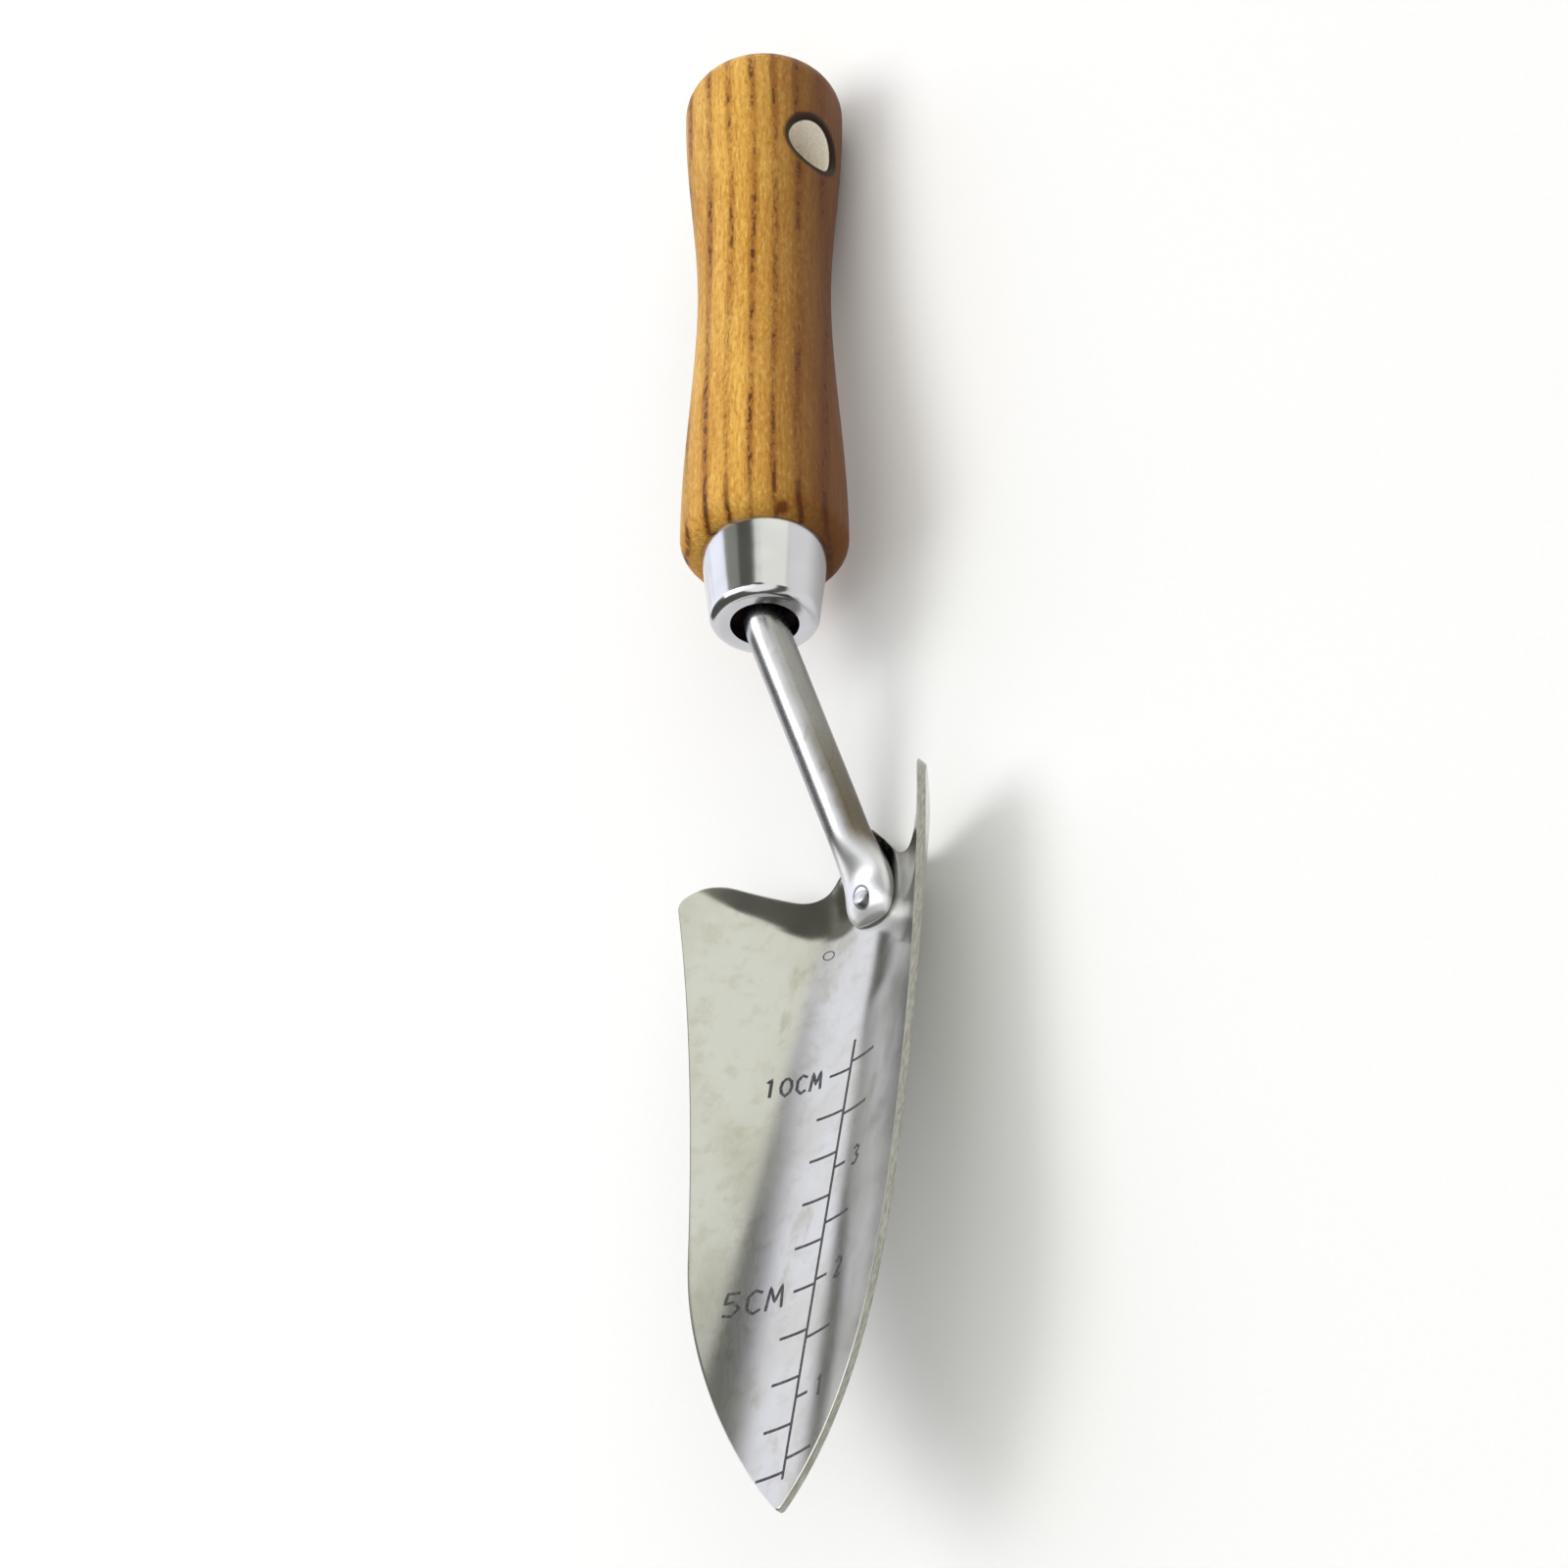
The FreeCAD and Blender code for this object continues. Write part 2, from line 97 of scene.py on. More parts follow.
def hollow_height(along, across):
    """Height of the blade's hollow face in the tool frame."""
    radius = HOLLOW_RADIUS_AT_TIP - HOLLOW_TAPER * along
    start = CURL_START + CURL_FADE * (across / HALF_WIDTH) ** 2
    rise = max(0.0, (along - start) / CURL_RUN)
    return across ** 2 / (2 * radius) + CURL_RISE * rise ** 3 + lip_height(along, abs(across))


def on_hollow(along, across, above=0.0):
    """A point on the hollow face, or a little above it, in the row frame."""
    return TOOL @ Vector((along, across, hollow_height(along, across) + above))


# ---------------------------------------------------------------- node helpers
class Shader:
    """A material's node tree, built with one call per node."""

    def __init__(self, name):
        self.material = bpy.data.materials.new(name)
        self.material.use_nodes = True
        self.tree = self.material.node_tree
        self.surface = next(n for n in self.tree.nodes if n.type == "BSDF_PRINCIPLED")

    def put(self, socket, value):
        if isinstance(value, bpy.types.NodeSocket):
            self.tree.links.new(value, socket)
        else:
            socket.default_value = value

    def add(self, kind, inputs=(), **settings):
        node = self.tree.nodes.new(kind)
        for key, value in settings.items():
            setattr(node, key, value)
        for key, value in dict(inputs).items():
            self.put(node.inputs[key], value)
        return node

    def math(self, operation, a, b=0.0, clamp=False):
        node = self.add("ShaderNodeMath", {0: a, 1: b}, operation=operation, use_clamp=clamp)
        return node.outputs[0]

    def length(self, a, b):
        """The length of a vector with two components."""
        squares = self.math("ADD", self.math("MULTIPLY", a, a), self.math("MULTIPLY", b, b))
        return self.math("SQRT", squares)

    def noise(self, vector, scale, detail=2.0, roughness=0.5, distortion=0.0):
        node = self.add("ShaderNodeTexNoise", {"Vector": vector, "Scale": scale, "Detail": detail,
                                               "Roughness": roughness, "Distortion": distortion})
        return node.outputs["Fac"]

    def stretch(self, vector, scale, location=(0, 0, 0), rotation=(0, 0, 0)):
        node = self.add("ShaderNodeMapping", {"Vector": vector, "Scale": scale, "Location": location,
                                              "Rotation": rotation})
        return node.outputs[0]

    def smooth(self, value, low, high, to_low=0.0, to_high=1.0):
        node = self.add("ShaderNodeMapRange", {"Value": value, "From Min": low, "From Max": high,
                                               "To Min": to_low, "To Max": to_high},
                        interpolation_type="SMOOTHSTEP")
        return node.outputs[0]

    def mix(self, share, a, b, blend="MIX"):
        node = self.add("ShaderNodeMix", data_type="RGBA", blend_type=blend)
        self.put(node.inputs[0], share)
        self.put(node.inputs[6], a)
        self.put(node.inputs[7], b)
        return node.outputs[2]

    def set(self, **values):
        """Sets the surface's own sockets; an underscore in a name stands for a space."""
        for key, value in values.items():
            self.put(self.surface.inputs[key.replace("_", " ")], value)

    def bump(self, height, distance, strength=1.0):
        node = self.add("ShaderNodeBump", {"Height": height, "Distance": distance, "Strength": strength})
        self.put(self.surface.inputs["Normal"], node.outputs[0])


def rgb(red, green, blue):
    """A colour given as display values from 0 to 255, as the linear value that a node wants."""
    def linear(v):
        v = v / 255
        return v / 12.92 if v <= 0.04045 else ((v + 0.055) / 1.055) ** 2.4
    return linear(red), linear(green), linear(blue), 1.0


def local_coordinates(shader, matrix):
    """Coordinates in millimetres in a frame of the design, for a piece whose mesh is in the row frame."""
    row = shader.add("ShaderNodeTexCoord").outputs["Object"]
    turned = shader.add("ShaderNodeMapping", {"Vector": row, "Location": matrix.to_translation(),
                                              "Rotation": matrix.to_euler()}, vector_type="TEXTURE")
    return shader.add("ShaderNodeVectorMath", {0: turned.outputs[0], "Scale": 1 / MM},
                      operation="SCALE").outputs[0]


# ---------------------------------------------------------------- materials
RING_SPACING = 4.9        # growth rings, in millimetres
GRAIN_WANDER = (0.011, 0.05, 0.05)   # how often the grain's bends repeat, per millimetre
GRAIN_BEND = 4.0          # how far it is bent aside, in millimetres
PITH = (78, 80)           # where the tree's middle would be, across the handle and above it
ROUND_OVER = (21.0, 26.5)   # along the handle, where the lower round-over ends
KNOT = (18.5, -13.0, 7.5)
KNOT_RADIUS = 1.5
FERRULE_SHADE = (11, 13)   # along the handle, where painted shade darkens the wood inside the ferrule
HANG_ALONG = 123
HANG_RADIUS = 6
HANG_DEEP = (8.5, 2.5)      # from the handle's middle, where painted shade on the hole's wall starts and where it is full


def make_ash():
    """Varnished ash: straight growth rings, each a row of open dark pores in a soft brown band."""
    s = Shader("varnished_ash")
    spot = local_coordinates(s, HANDLE)
    wander = s.add("ShaderNodeTexNoise", {"Vector": s.stretch(spot, GRAIN_WANDER), "Scale": 1.0,
                                          "Detail": 2.0, "Roughness": 0.5})
    bent = s.add("ShaderNodeVectorMath", {0: wander.outputs["Color"], 1: (0.5, 0.5, 0.5)},
                 operation="SUBTRACT").outputs[0]
    bent = s.add("ShaderNodeVectorMath", {0: bent, "Scale": GRAIN_BEND}, operation="SCALE").outputs[0]
    grown = s.add("ShaderNodeVectorMath", {0: spot, 1: bent}, operation="ADD").outputs[0]
    parts = s.add("ShaderNodeSeparateXYZ", {0: grown})
    aside = s.math("SUBTRACT", parts.outputs[1], PITH[0])
    above = s.math("SUBTRACT", parts.outputs[2], PITH[1])
    away = s.length(aside, above)
    ring = s.math("FRACT", s.math("DIVIDE", away, RING_SPACING))
    off = s.math("MULTIPLY", s.math("ABSOLUTE", s.math("SUBTRACT", ring, 0.5)), RING_SPACING)
    place = s.add("ShaderNodeSeparateXYZ", {0: spot})
    end_grain = s.smooth(place.outputs[0], ROUND_OVER[0], ROUND_OVER[1], 1.0, 0.0)

    dash_cells = s.noise(s.stretch(spot, (0.42, 0.75, 0.75)), 1.0, 2.0, 0.6)
    dash_cells = s.math("ADD", dash_cells, s.math("MULTIPLY", end_grain, 0.18))
    dashes = s.math("MULTIPLY", s.smooth(off, 0.15, 0.75, 1.0, 0.0), s.smooth(dash_cells, 0.51, 0.6))
    fine_cells = s.noise(s.stretch(spot, (0.7, 2.6, 2.6)), 1.0, 2.0, 0.6)
    fine = s.math("MULTIPLY", s.smooth(off, 0.3, 1.7, 1.0, 0.1), s.smooth(fine_cells, 0.55, 0.68))
    clumps = s.noise(s.stretch(spot, (0.045, 0.16, 0.16)), 1.0, 2.0, 0.5)
    strength = s.smooth(clumps, 0.36, 0.6, 0.3, 1.0)
    pores = s.math("MAXIMUM", s.math("MULTIPLY", dashes, strength), s.math("MULTIPLY", fine, 0.55),
                   clamp=True)
    band = s.math("MULTIPLY", s.smooth(off, 0.1, 1.5, 0.75, 0.0), strength)

    grains = s.noise(s.stretch(spot, (0.5, 1.5, 1.5)), 1.0, 4.0, 0.65)
    fibres = s.noise(s.stretch(spot, (0.03, 1.6, 1.6)), 1.0, 4.0, 0.6)
    patches = s.noise(s.stretch(spot, (0.02, 0.08, 0.08)), 1.0, 3.0, 0.5)
    body = s.mix(s.smooth(patches, 0.3, 0.7), rgb(230, 180, 86), rgb(206, 150, 60))
    body = s.mix(s.smooth(grains, 0.5, 0.72, 0.0, 0.7), body, rgb(248, 208, 118))
    body = s.mix(s.smooth(grains, 0.5, 0.3, 0.0, 0.65), body, rgb(176, 110, 32))
    body = s.mix(s.smooth(fibres, 0.4, 0.75, 0.0, 0.5), body, rgb(172, 104, 30))
    body = s.mix(band, body, rgb(150, 84, 20))
    # Painted shade: the handle is darkened towards its -Y and -Z side, the side that lies in shade.
    painted_shade_side = s.math("MULTIPLY", s.math("ADD", place.outputs[1], place.outputs[2]), 0.7)
    body = s.mix(s.smooth(painted_shade_side, 6.0, -14.0, 0.0, 0.94), body, rgb(88, 44, 9))
    colour = s.mix(s.math("MULTIPLY", pores, 0.88), body, rgb(74, 36, 8))

    knot = s.add("ShaderNodeVectorMath", {0: spot, 1: KNOT}, operation="DISTANCE").outputs["Value"]
    knot = s.math("ADD", knot, s.math("MULTIPLY", fine_cells, 1.2))
    colour = s.mix(s.smooth(knot, KNOT_RADIUS + 1.2, KNOT_RADIUS, 0.0, 0.9), colour, rgb(96, 42, 10))

    along_hole = s.math("SUBTRACT", place.outputs[0], HANG_ALONG)
    from_hole = s.length(along_hole, place.outputs[2])
    # Painted shade: a near-black ring round the hanging hole's mouth.
    painted_hole_mouth_shade = s.smooth(from_hole, HANG_RADIUS + 2.4, HANG_RADIUS + 1.3, 0.0, 0.94)
    colour = s.mix(painted_hole_mouth_shade, colour, rgb(30, 15, 5))
    # The hole's wall: pale raw wood, painted near white as painted light for the backdrop seen through
    # the hole, and darkened deeper in by painted shade.
    hole_wall = s.mix(s.smooth(fibres, 0.3, 0.7), rgb(255, 251, 242), rgb(242, 232, 212))
    painted_hole_depth_shade = s.smooth(s.math("ABSOLUTE", place.outputs[1]), HANG_DEEP[0], HANG_DEEP[1], 0.0, 0.85)
    hole_wall = s.mix(painted_hole_depth_shade, hole_wall, rgb(126, 84, 46))
    in_hole = s.smooth(from_hole, HANG_RADIUS + 0.12, HANG_RADIUS + 0.02, 0.0, 1.0)
    over_hole = s.math("GREATER_THAN", place.outputs[0], HANG_ALONG - 2 * HANG_RADIUS)
    colour = s.mix(s.math("MULTIPLY", in_hole, over_hole), colour, hole_wall)

    # Painted shade: the wood inside the ferrule is darkened.
    painted_ferrule_shade = s.smooth(place.outputs[0], FERRULE_SHADE[0], FERRULE_SHADE[1], 1.0, 0.0)
    colour = s.mix(painted_ferrule_shade, colour, rgb(40, 20, 10))

    s.set(Base_Color=colour, Roughness=s.smooth(fibres, 0.2, 0.8, 0.46, 0.6), Specular_IOR_Level=0.14)
    s.set(Coat_Weight=0.07, Coat_Roughness=0.22, Coat_IOR=1.4)
    relief = s.math("ADD", s.math("MULTIPLY", pores, -1.0), s.math("MULTIPLY", grains, 0.15))
    s.bump(relief, 0.00022, 0.7)
    return s.material


def make_blade_steel():
    """Satin stainless sheet: fine polishing lines along the blade, faint clouds and a few smudges."""
    s = Shader("satin_stainless")
    spot = local_coordinates(s, TOOL)
    lines = s.noise(s.stretch(spot, (0.25, 9, 9)), 1.0, 3.0, 0.6)
    clouds = s.noise(s.stretch(spot, (0.04, 0.055, 0.055)), 1.0, 3.0, 0.55)
    mottle = s.noise(spot, 0.22, 4.0, 0.6)
    smudges = s.noise(s.stretch(spot, (0.05, 0.1, 0.1), (7, 3, 1)), 1.0, 4.0, 0.62)
    colour = s.mix(s.smooth(clouds, 0.35, 0.7), rgb(194, 194, 192), rgb(184, 183, 175))
    colour = s.mix(s.smooth(mottle, 0.48, 0.72, 0.0, 0.4), colour, rgb(168, 166, 152))
    colour = s.mix(s.smooth(smudges, 0.56, 0.74, 0.0, 0.6), colour, rgb(148, 142, 122))
    normal = s.add("ShaderNodeNewGeometry").outputs["Normal"]
    out_of_sheet = TOOL.to_3x3() @ Vector((0, 0, 1))
    facing = s.add("ShaderNodeVectorMath", {0: normal, 1: out_of_sheet}, operation="DOT_PRODUCT")
    edge = s.smooth(s.math("ABSOLUTE", facing.outputs["Value"]), 0.35, 0.65, 1.0, 0.0)
    shear = s.noise(s.stretch(spot, (0.5, 0.5, 3)), 1.0, 3.0, 0.6)
    sheared = s.mix(s.smooth(shear, 0.35, 0.65), rgb(176, 175, 166), rgb(146, 145, 135))
    colour = s.mix(edge, colour, sheared)
    rough = s.math("ADD", s.smooth(clouds, 0.3, 0.7, 0.11, 0.15), s.smooth(lines, 0.3, 0.7, 0.0, 0.05))
    rough = s.math("ADD", rough, s.math("MULTIPLY", edge, 0.2))
    s.set(Base_Color=colour, Metallic=1.0, Roughness=rough)
    s.bump(lines, 0.00001, 0.5)
    return s.material


# Along the blade in millimetres: where the painted shade on the rod's flanks starts past the foot, the
# two ends of the painted shade beside the bend, and the ground face that is painted paler.
PAST_FOOT = (143, 150)
BEND_SHADE_RISES = (143, 149)
BEND_SHADE_FADES = (174, 152)
FOOT_FACE = (150, 143.5)


def make_neck_steel(name="bright_stainless"):
    """Bright stainless rod: draw lines, grime, a ground foot painted paler as painted light, painted
    shade on the flanks and beside the bend, and a painted shadow ring round the rivet.
    """
    s = Shader(name)
    spot = local_coordinates(s, TOOL)
    lines = s.noise(s.stretch(spot, (0.2, 5, 5)), 1.0, 3.0, 0.6)
    dents = s.noise(spot, 0.1, 1.0, 0.5)
    grime_and_shade_noise = s.noise(s.stretch(spot, (0.1, 0.35, 0.35)), 1.0, 4.0, 0.6)
    colour = s.mix(s.smooth(dents, 0.35, 0.7), rgb(186, 187, 191), rgb(170, 170, 170))
    colour = s.mix(s.smooth(grime_and_shade_noise, 0.55, 0.78, 0.0, 0.45), colour, rgb(134, 129, 114))
    level = s.add("ShaderNodeVectorMath", {0: spot, 1: (1, 1, 0)}, operation="MULTIPLY").outputs[0]
    from_rivet = s.add("ShaderNodeVectorMath", {0: level, 1: (RIVET_ALONG / MM, 0, 0)},
                       operation="DISTANCE").outputs["Value"]
    near = s.math("SUBTRACT", from_rivet, RIVET_RADIUS / MM)
    # Painted shade: a dark ring round the rivet head, the shade of the gap between head and foot.
    painted_rivet_gap_shade = s.smooth(s.math("ABSOLUTE", near), 0.12, 0.42, 0.85, 0.0)
    colour = s.mix(painted_rivet_gap_shade, colour, rgb(70, 72, 74))
    place = s.add("ShaderNodeSeparateXYZ", {0: spot})
    aside = s.math("ABSOLUTE", place.outputs[1])
    along = place.outputs[0]
    # Painted shade: the rod's flanks past the foot are darkened, a painted dark reflection.
    painted_flank_shade = s.math("MULTIPLY", s.smooth(aside, 2.2, 4.3, 0.0, 0.6), s.smooth(along, *PAST_FOOT))
    colour = s.mix(painted_flank_shade, colour, rgb(118, 116, 104))
    # Painted shade: the flanks beside the bend are darkened brown, a painted dark reflection.
    near_bend = s.math("MULTIPLY", s.smooth(along, *BEND_SHADE_RISES), s.smooth(along, *BEND_SHADE_FADES))
    ragged_aside = s.math("ADD", aside, s.math("MULTIPLY", grime_and_shade_noise, 1.5))
    painted_bend_shade = s.math("MULTIPLY", near_bend, s.smooth(ragged_aside, 2.0, 4.4))
    colour = s.mix(s.math("MULTIPLY", painted_bend_shade, 0.8), colour, rgb(92, 80, 60))
    # The ground foot: rougher, and painted paler, painted light that stands in for its bright
    # reflections.
    on_foot = s.smooth(along, *FOOT_FACE)
    off_rivet_gap_shade = s.math("SUBTRACT", 0.75, s.math("MULTIPLY", painted_rivet_gap_shade, 0.75))
    colour = s.mix(s.math("MULTIPLY", on_foot, off_rivet_gap_shade), colour, rgb(224, 225, 228))
    rough = s.math("ADD", s.smooth(lines, 0.3, 0.7, 0.22, 0.32), s.math("MULTIPLY", on_foot, 0.16))
    s.set(Base_Color=colour, Metallic=1.0, Roughness=rough)
    s.bump(s.math("ADD", s.math("MULTIPLY", lines, 0.04), dents), 0.0003, 0.5)
    return s.material


def make_chrome():
    """Polished ferrule with faint turning marks and a slightly uneven mirror."""
    s = Shader("polished_chrome")
    spot = local_coordinates(s, HANDLE)
    marks = s.noise(s.stretch(spot, (8, 0.4, 0.4)), 1.0, 2.0, 0.5)
    waves = s.noise(spot, 0.12, 1.0, 0.5)
    colour = s.mix(s.smooth(waves, 0.3, 0.7), rgb(208, 209, 213), rgb(200, 200, 204))
    s.set(Base_Color=colour, Metallic=1.0, Roughness=s.smooth(marks, 0.3, 0.7, 0.13, 0.17))
    s.bump(s.math("ADD", s.math("MULTIPLY", marks, 0.02), waves), 0.0002, 0.4)
    return s.material


def make_etch():
    """Dark etched marks of the depth scale, unevenly deep."""
    s = Shader("etched_marks")
    spot = local_coordinates(s, TOOL)
    wear = s.noise(spot, 1.6, 3.0, 0.6)
    colour = s.mix(s.smooth(wear, 0.4, 0.7), rgb(52, 52, 54), rgb(98, 98, 98))
    s.set(Base_Color=colour, Metallic=0.4, Roughness=s.smooth(wear, 0.3, 0.7, 0.5, 0.7))
    return s.material


def make_floor_paper():
    s = Shader("studio_paper")
    spot = s.add("ShaderNodeTexCoord").outputs["Object"]
    fibre = s.noise(spot, 900.0, 3.0, 0.6)
    s.set(Base_Color=s.mix(fibre, rgb(246, 246, 246), rgb(250, 250, 250)), Roughness=0.9,
          Specular_IOR_Level=0.1)
    return s.material


def dress(piece, material):
    piece.data.materials.clear()
    piece.data.materials.append(material)


blade_steel = make_blade_steel()
neck_steel = make_neck_steel()
rivet_steel = make_neck_steel("rivet_stainless")
dress(nodes["ferrule"], make_chrome())
dress(nodes["handle"], make_ash())

# ---------------------------------------------------------------- mesh helpers
def mesh_object(name, points, faces, smooth=False):
    """An object whose points are given in the row frame."""
    data = bpy.data.meshes.new(name)
    data.from_pydata([tuple(p) for p in points], [], faces)
    data.validate()
    data.update()
    if smooth:
        data.shade_smooth()
    piece = bpy.data.objects.new(name, data)
    bpy.context.scene.collection.objects.link(piece)
    return piece


def arc(centre, radius, first, last, count):
    """Points on an arc in the plane, from one angle to another."""
    return [centre + radius * Vector((math.cos(a), math.sin(a)))
            for a in (first + (last - first) * i / count for i in range(count + 1))]


def rounded(before, corner, after, radius, count):
    """The arc that rounds a corner between two straight runs."""
    back = (before - corner).normalized()
    ahead = (after - corner).normalized()
    half = back.angle(ahead) / 2
    centre = corner + (back + ahead).normalized() * (radius / math.sin(half))
    start = corner + back * (radius / math.tan(half)) - centre
    end = corner + ahead * (radius / math.tan(half)) - centre
    turn = start.angle_signed(end)
    first = math.atan2(start.y, start.x)
    return arc(centre, radius, first, first - turn, count)


def evenly(points, count):
    """The same line as count + 1 points with equal steps."""
    lengths = [0.0]
    for a, b in zip(points, points[1:]):
        lengths.append(lengths[-1] + (b - a).length)
    result = []
    piece = 0
    for i in range(count + 1):
        wanted = lengths[-1] * i / count
        while piece < len(points) - 2 and lengths[piece + 1] < wanted:
            piece += 1
        span = lengths[piece + 1] - lengths[piece]
        result.append(points[piece].lerp(points[piece + 1], (wanted - lengths[piece]) / span))
    return result


def turned(name, profile, matrix, segments=64):
    """A solid of revolution about the frame's X axis. The profile is (along, radius), axis to axis."""
    points = []
    faces = []
    rings = []
    for along, radius in profile:
        if radius == 0:
            rings.append([len(points)] * segments)
            points.append(matrix @ Vector((along, 0, 0)))
            continue
        rings.append(list(range(len(points), len(points) + segments)))
        for i in range(segments):
            a = 2 * math.pi * i / segments
            points.append(matrix @ Vector((along, radius * math.cos(a), radius * math.sin(a))))
    for low, high in zip(rings, rings[1:]):
        for i in range(segments):
            j = (i + 1) % segments
            corners = [low[i], low[j], high[j], high[i]]
            faces.append([c for k, c in enumerate(corners) if c not in corners[:k]])
    return mesh_object(name, points, faces, smooth=True)


# ---------------------------------------------------------------- blade
EDGE_ROUND = 0.3 * MM
EDGE_STEPS = 4
ROWS = 200
COLUMNS = 120


def half_outline():
    """The blade's outline on its +Y side, from the tip to the middle of the tab's end."""
    bow_centre = EDGE_RADIUS * Vector((math.sin(TIP_HALF_ANGLE), -math.cos(TIP_HALF_ANGLE)))
    bow_end = bow_centre + EDGE_RADIUS * Vector((-math.sin(WING_FLARE), math.cos(WING_FLARE)))
    corner = Vector((WING_TOP, bow_end.y + (WING_TOP - bow_end.x) * math.tan(WING_FLARE)))
    tip_centre = Vector((TIP_RADIUS / math.sin(TIP_HALF_ANGLE), 0))
    quarter = math.pi / 2
    tip = arc(tip_centre, TIP_RADIUS, 2 * quarter, quarter + TIP_HALF_ANGLE, 6)
    cut_back = TIP_RADIUS / math.tan(TIP_HALF_ANGLE) / EDGE_RADIUS
    bow = arc(bow_centre, EDGE_RADIUS, quarter + TIP_HALF_ANGLE - cut_back, quarter + WING_FLARE, 80)
    tab_end = Vector((TAB.x, 0))
    line = tip + bow
    line += rounded(bow_end, corner, NOTCH, WING_CORNER_RADIUS, 16)
    line += rounded(corner, NOTCH, TAB, NOTCH_RADIUS, 12)
    line += rounded(NOTCH, TAB, tab_end, TAB_CORNER_RADIUS, 8)
    return line + [tab_end]


def inset(line, distance):
    """The line moved to its right, seen along it; the ends stay on the blade's centre line."""
    moved = []
    for i, point in enumerate(line):
        ahead = line[min(i + 1, len(line) - 1)] - line[max(i - 1, 0)]
        side = Vector((ahead.y, -ahead.x)).normalized()
        if i in (0, len(line) - 1):
            side = Vector((math.copysign(1, side.x), 0))
        moved.append(point + side * distance)
    return moved


def hollow_normal(along, across):
    """The hollow face's normal in the tool frame."""
    step = 0.01 * MM
    slope = hollow_height(along + step, across) - hollow_height(along - step, across)
    tilt = hollow_height(along, across + step) - hollow_height(along, across - step)
    return Vector((-slope / (2 * step), -tilt / (2 * step), 1)).normalized()


def back_height(along, across):
    """Height of the sheet's back, straight below a point of its hollow face, in the tool frame."""
    below = Vector((along, across))
    over = below.copy()
    for _ in range(4):
        normal = hollow_normal(over.x, over.y)
        over = below + normal.xy * SHEET
    normal = hollow_normal(over.x, over.y)
    return hollow_height(over.x, over.y) - normal.z * SHEET


def make_blade():
    """The pressed sheet: a grid over the outline, front and back, with a rounded edge all round it."""
    def mirrored(line):
        return [Vector((p.x, -p.y)) for p in line]

    outer = half_outline()
    inner = inset(outer, EDGE_ROUND)
    tip_count = 7                                   # the rounded tip is the grid's first row
    wing = max(range(len(outer)), key=lambda i: outer[i].y + 0.5 * outer[i].x)
    loops = []
    for line in (outer, inner):
        tip_row = evenly(mirrored(line[:tip_count])[::-1] + line[1:tip_count], COLUMNS)
        side = evenly(line[tip_count - 1:wing + 1], ROWS)
        top = line[wing:]
        top_row = evenly(mirrored(top) + top[::-1][1:], COLUMNS)
        loops.append((tip_row, top_row, mirrored(side), side))

    tip_row, top_row, low_side, high_side = loops[1]
    grid = []
    for i in range(ROWS + 1):
        u = i / ROWS
        for j in range(COLUMNS + 1):
            v = j / COLUMNS
            sides = low_side[i].lerp(high_side[i], v)
            ends = tip_row[j].lerp(top_row[j], u)
            corners = tip_row[0].lerp(tip_row[-1], v).lerp(top_row[0].lerp(top_row[-1], v), u)
            grid.append(sides + ends - corners)

    points = [Vector((p.x, p.y, hollow_height(p.x, p.y))) for p in grid]
    points += [Vector((p.x, p.y, back_height(p.x, p.y))) for p in grid]
    size = len(grid)
    width = COLUMNS + 1
    faces = []
    for i in range(ROWS):
        for j in range(COLUMNS):
            a = i * width + j
            faces.append((a, a + width, a + width + 1, a + 1))
            faces.append((size + a, size + a + 1, size + a + width + 1, size + a + width))

    def around(tip_line, top_line, low_line, high_line):
        """The loop round the grid: along the tip, up +Y, back along the top and down -Y."""
        return tip_line[:-1] + high_line[:-1] + top_line[::-1][:-1] + low_line[::-1][:-1]

    index = [[i * width + j for j in range(width)] for i in range(ROWS + 1)]
    edge = around(index[0], index[ROWS], [row[0] for row in index], [row[-1] for row in index])
    outline = around(*loops[0])
    rings = [edge]
    steps = [(math.sin(a), 1 - math.cos(a)) for a in
             (math.pi / 2 * k / EDGE_STEPS for k in range(1, EDGE_STEPS + 1))]
    for front, turn in [(True, step) for step in steps] + [(False, step) for step in reversed(steps)]:
        out, down = turn
        ring = []
        for place, rim in zip(edge, outline):
            spot = grid[place].lerp(rim, out)
            if front:
                height = hollow_height(spot.x, spot.y) - EDGE_ROUND * down
            else:
                height = back_height(spot.x, spot.y) + EDGE_ROUND * down
            ring.append(len(points))
            points.append(Vector((spot.x, spot.y, height)))
        rings.append(ring)
    rings.append([size + place for place in edge])
    for ring, following in zip(rings, rings[1:]):
        for i in range(len(ring)):
            j = (i + 1) % len(ring)
            faces.append((ring[i], ring[j], following[j], following[i]))

    piece = mesh_object("blade_sheet", [TOOL @ p for p in points], faces, smooth=True)
    dress(piece, blade_steel)
    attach(piece, "root")
    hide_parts("blade")


make_blade()

# ---------------------------------------------------------------- neck
ROD_RADIUS = 4.4 * MM
FOOT_END = 135.2 * MM
ROD_ABOVE_BLADE = 3.7 * MM
NECK_SLOPE = math.radians(41)
FOOT_BEND_RADIUS = 13 * MM
CRANK_RADIUS = 11 * MM
TANG_LENGTH = 86 * MM
TANG_POINT_LENGTH = 9 * MM
TANG_POINT_RADIUS = 1.2 * MM
SEATED = 0.05 * MM         # how far the foot is let into the sheet
TOE_RUNS = (-0.5, -0.4, -0.3, -0.2, -0.1)   # extra sections before the toe, in millimetres
NECK_SEGMENTS = 64

